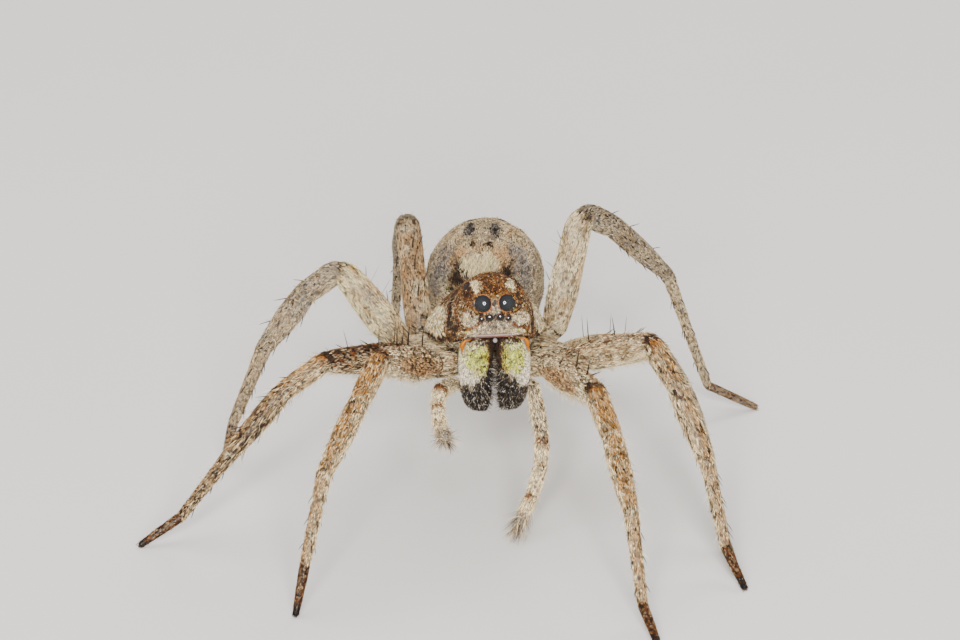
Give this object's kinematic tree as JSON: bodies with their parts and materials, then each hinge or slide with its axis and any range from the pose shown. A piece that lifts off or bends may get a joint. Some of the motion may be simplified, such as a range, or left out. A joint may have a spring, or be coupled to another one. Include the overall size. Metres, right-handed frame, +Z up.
{
  "type": "wolf spider",
  "caption": "Life-size wolf spider model standing on spread legs with its head lifted, for natural history displays and close-up scenes.",
  "frame": {"origin": "the point on the floor under the middle of the box round the standing animal", "axes": "+Z up, -Y the way the spider faces, +X towards the spider's left side"},
  "size_m": [0.0386, 0.0454, 0.0161],
  "materials": {
    "carapace_coat": "rust-brown hair with pale cream bands along the margins and round the eyes",
    "sternum_coat": "dull grey-brown short hair",
    "abdomen_coat": "sandy grey hair with peach mottling and dark paired marks",
    "spinneret_skin": "dull tan skin with short hair",
    "eye_lens": "wet-looking near black lenses",
    "fang_horn": "polished dark red-brown horn",
    "jaw_coat": "cream-yellow hair above, black bristles with silver hairs below",
    "palp_coat": "pale hair with red-brown marks at the joints",
    "leg_coat": "sandy hair mottled brown and grey, with dark bristles",
    "foot_coat": "dense dark brown hair with small dark claws"
  },
  "bodies": {
    "root": {"abdomen": "abdomen_coat", "carapace": "carapace_coat", "chelicera_left": "jaw_coat", "chelicera_right": "jaw_coat", "eye_anterior_lateral_left": "eye_lens", "eye_anterior_lateral_right": "eye_lens", "eye_anterior_median_left": "eye_lens", "eye_anterior_median_right": "eye_lens", "eye_posterior_lateral_left": "eye_lens", "eye_posterior_lateral_right": "eye_lens", "eye_posterior_median_left": "eye_lens", "eye_posterior_median_right": "eye_lens", "fang_left": "fang_horn", "fang_right": "fang_horn", "leg_left_1_coxa": "leg_coat", "leg_left_1_femur": "leg_coat", "leg_left_1_metatarsus": "leg_coat", "leg_left_1_tarsus": "foot_coat", "leg_left_1_tibia": "leg_coat", "leg_left_2_coxa": "leg_coat", "leg_left_2_femur": "leg_coat", "leg_left_2_metatarsus": "leg_coat", "leg_left_2_tarsus": "foot_coat", "leg_left_2_tibia": "leg_coat", "leg_left_3_coxa": "leg_coat", "leg_left_3_femur": "leg_coat", "leg_left_3_metatarsus": "leg_coat", "leg_left_3_tarsus": "foot_coat", "leg_left_3_tibia": "leg_coat", "leg_left_4_coxa": "leg_coat", "leg_left_4_femur": "leg_coat", "leg_left_4_metatarsus": "leg_coat", "leg_left_4_tarsus": "foot_coat", "leg_left_4_tibia": "leg_coat", "leg_right_1_coxa": "leg_coat", "leg_right_1_femur": "leg_coat", "leg_right_1_metatarsus": "leg_coat", "leg_right_1_tarsus": "foot_coat", "leg_right_1_tibia": "leg_coat", "leg_right_2_coxa": "leg_coat", "leg_right_2_femur": "leg_coat", "leg_right_2_metatarsus": "leg_coat", "leg_right_2_tarsus": "foot_coat", "leg_right_2_tibia": "leg_coat", "leg_right_3_coxa": "leg_coat", "leg_right_3_femur": "leg_coat", "leg_right_3_metatarsus": "leg_coat", "leg_right_3_tarsus": "foot_coat", "leg_right_3_tibia": "leg_coat", "leg_right_4_coxa": "leg_coat", "leg_right_4_femur": "leg_coat", "leg_right_4_metatarsus": "leg_coat", "leg_right_4_tarsus": "foot_coat", "leg_right_4_tibia": "leg_coat", "palp_left_lower": "palp_coat", "palp_left_upper": "palp_coat", "palp_right_lower": "palp_coat", "palp_right_upper": "palp_coat", "spinnerets": "spinneret_skin", "sternum": "sternum_coat"}
  },
  "joints": []
}
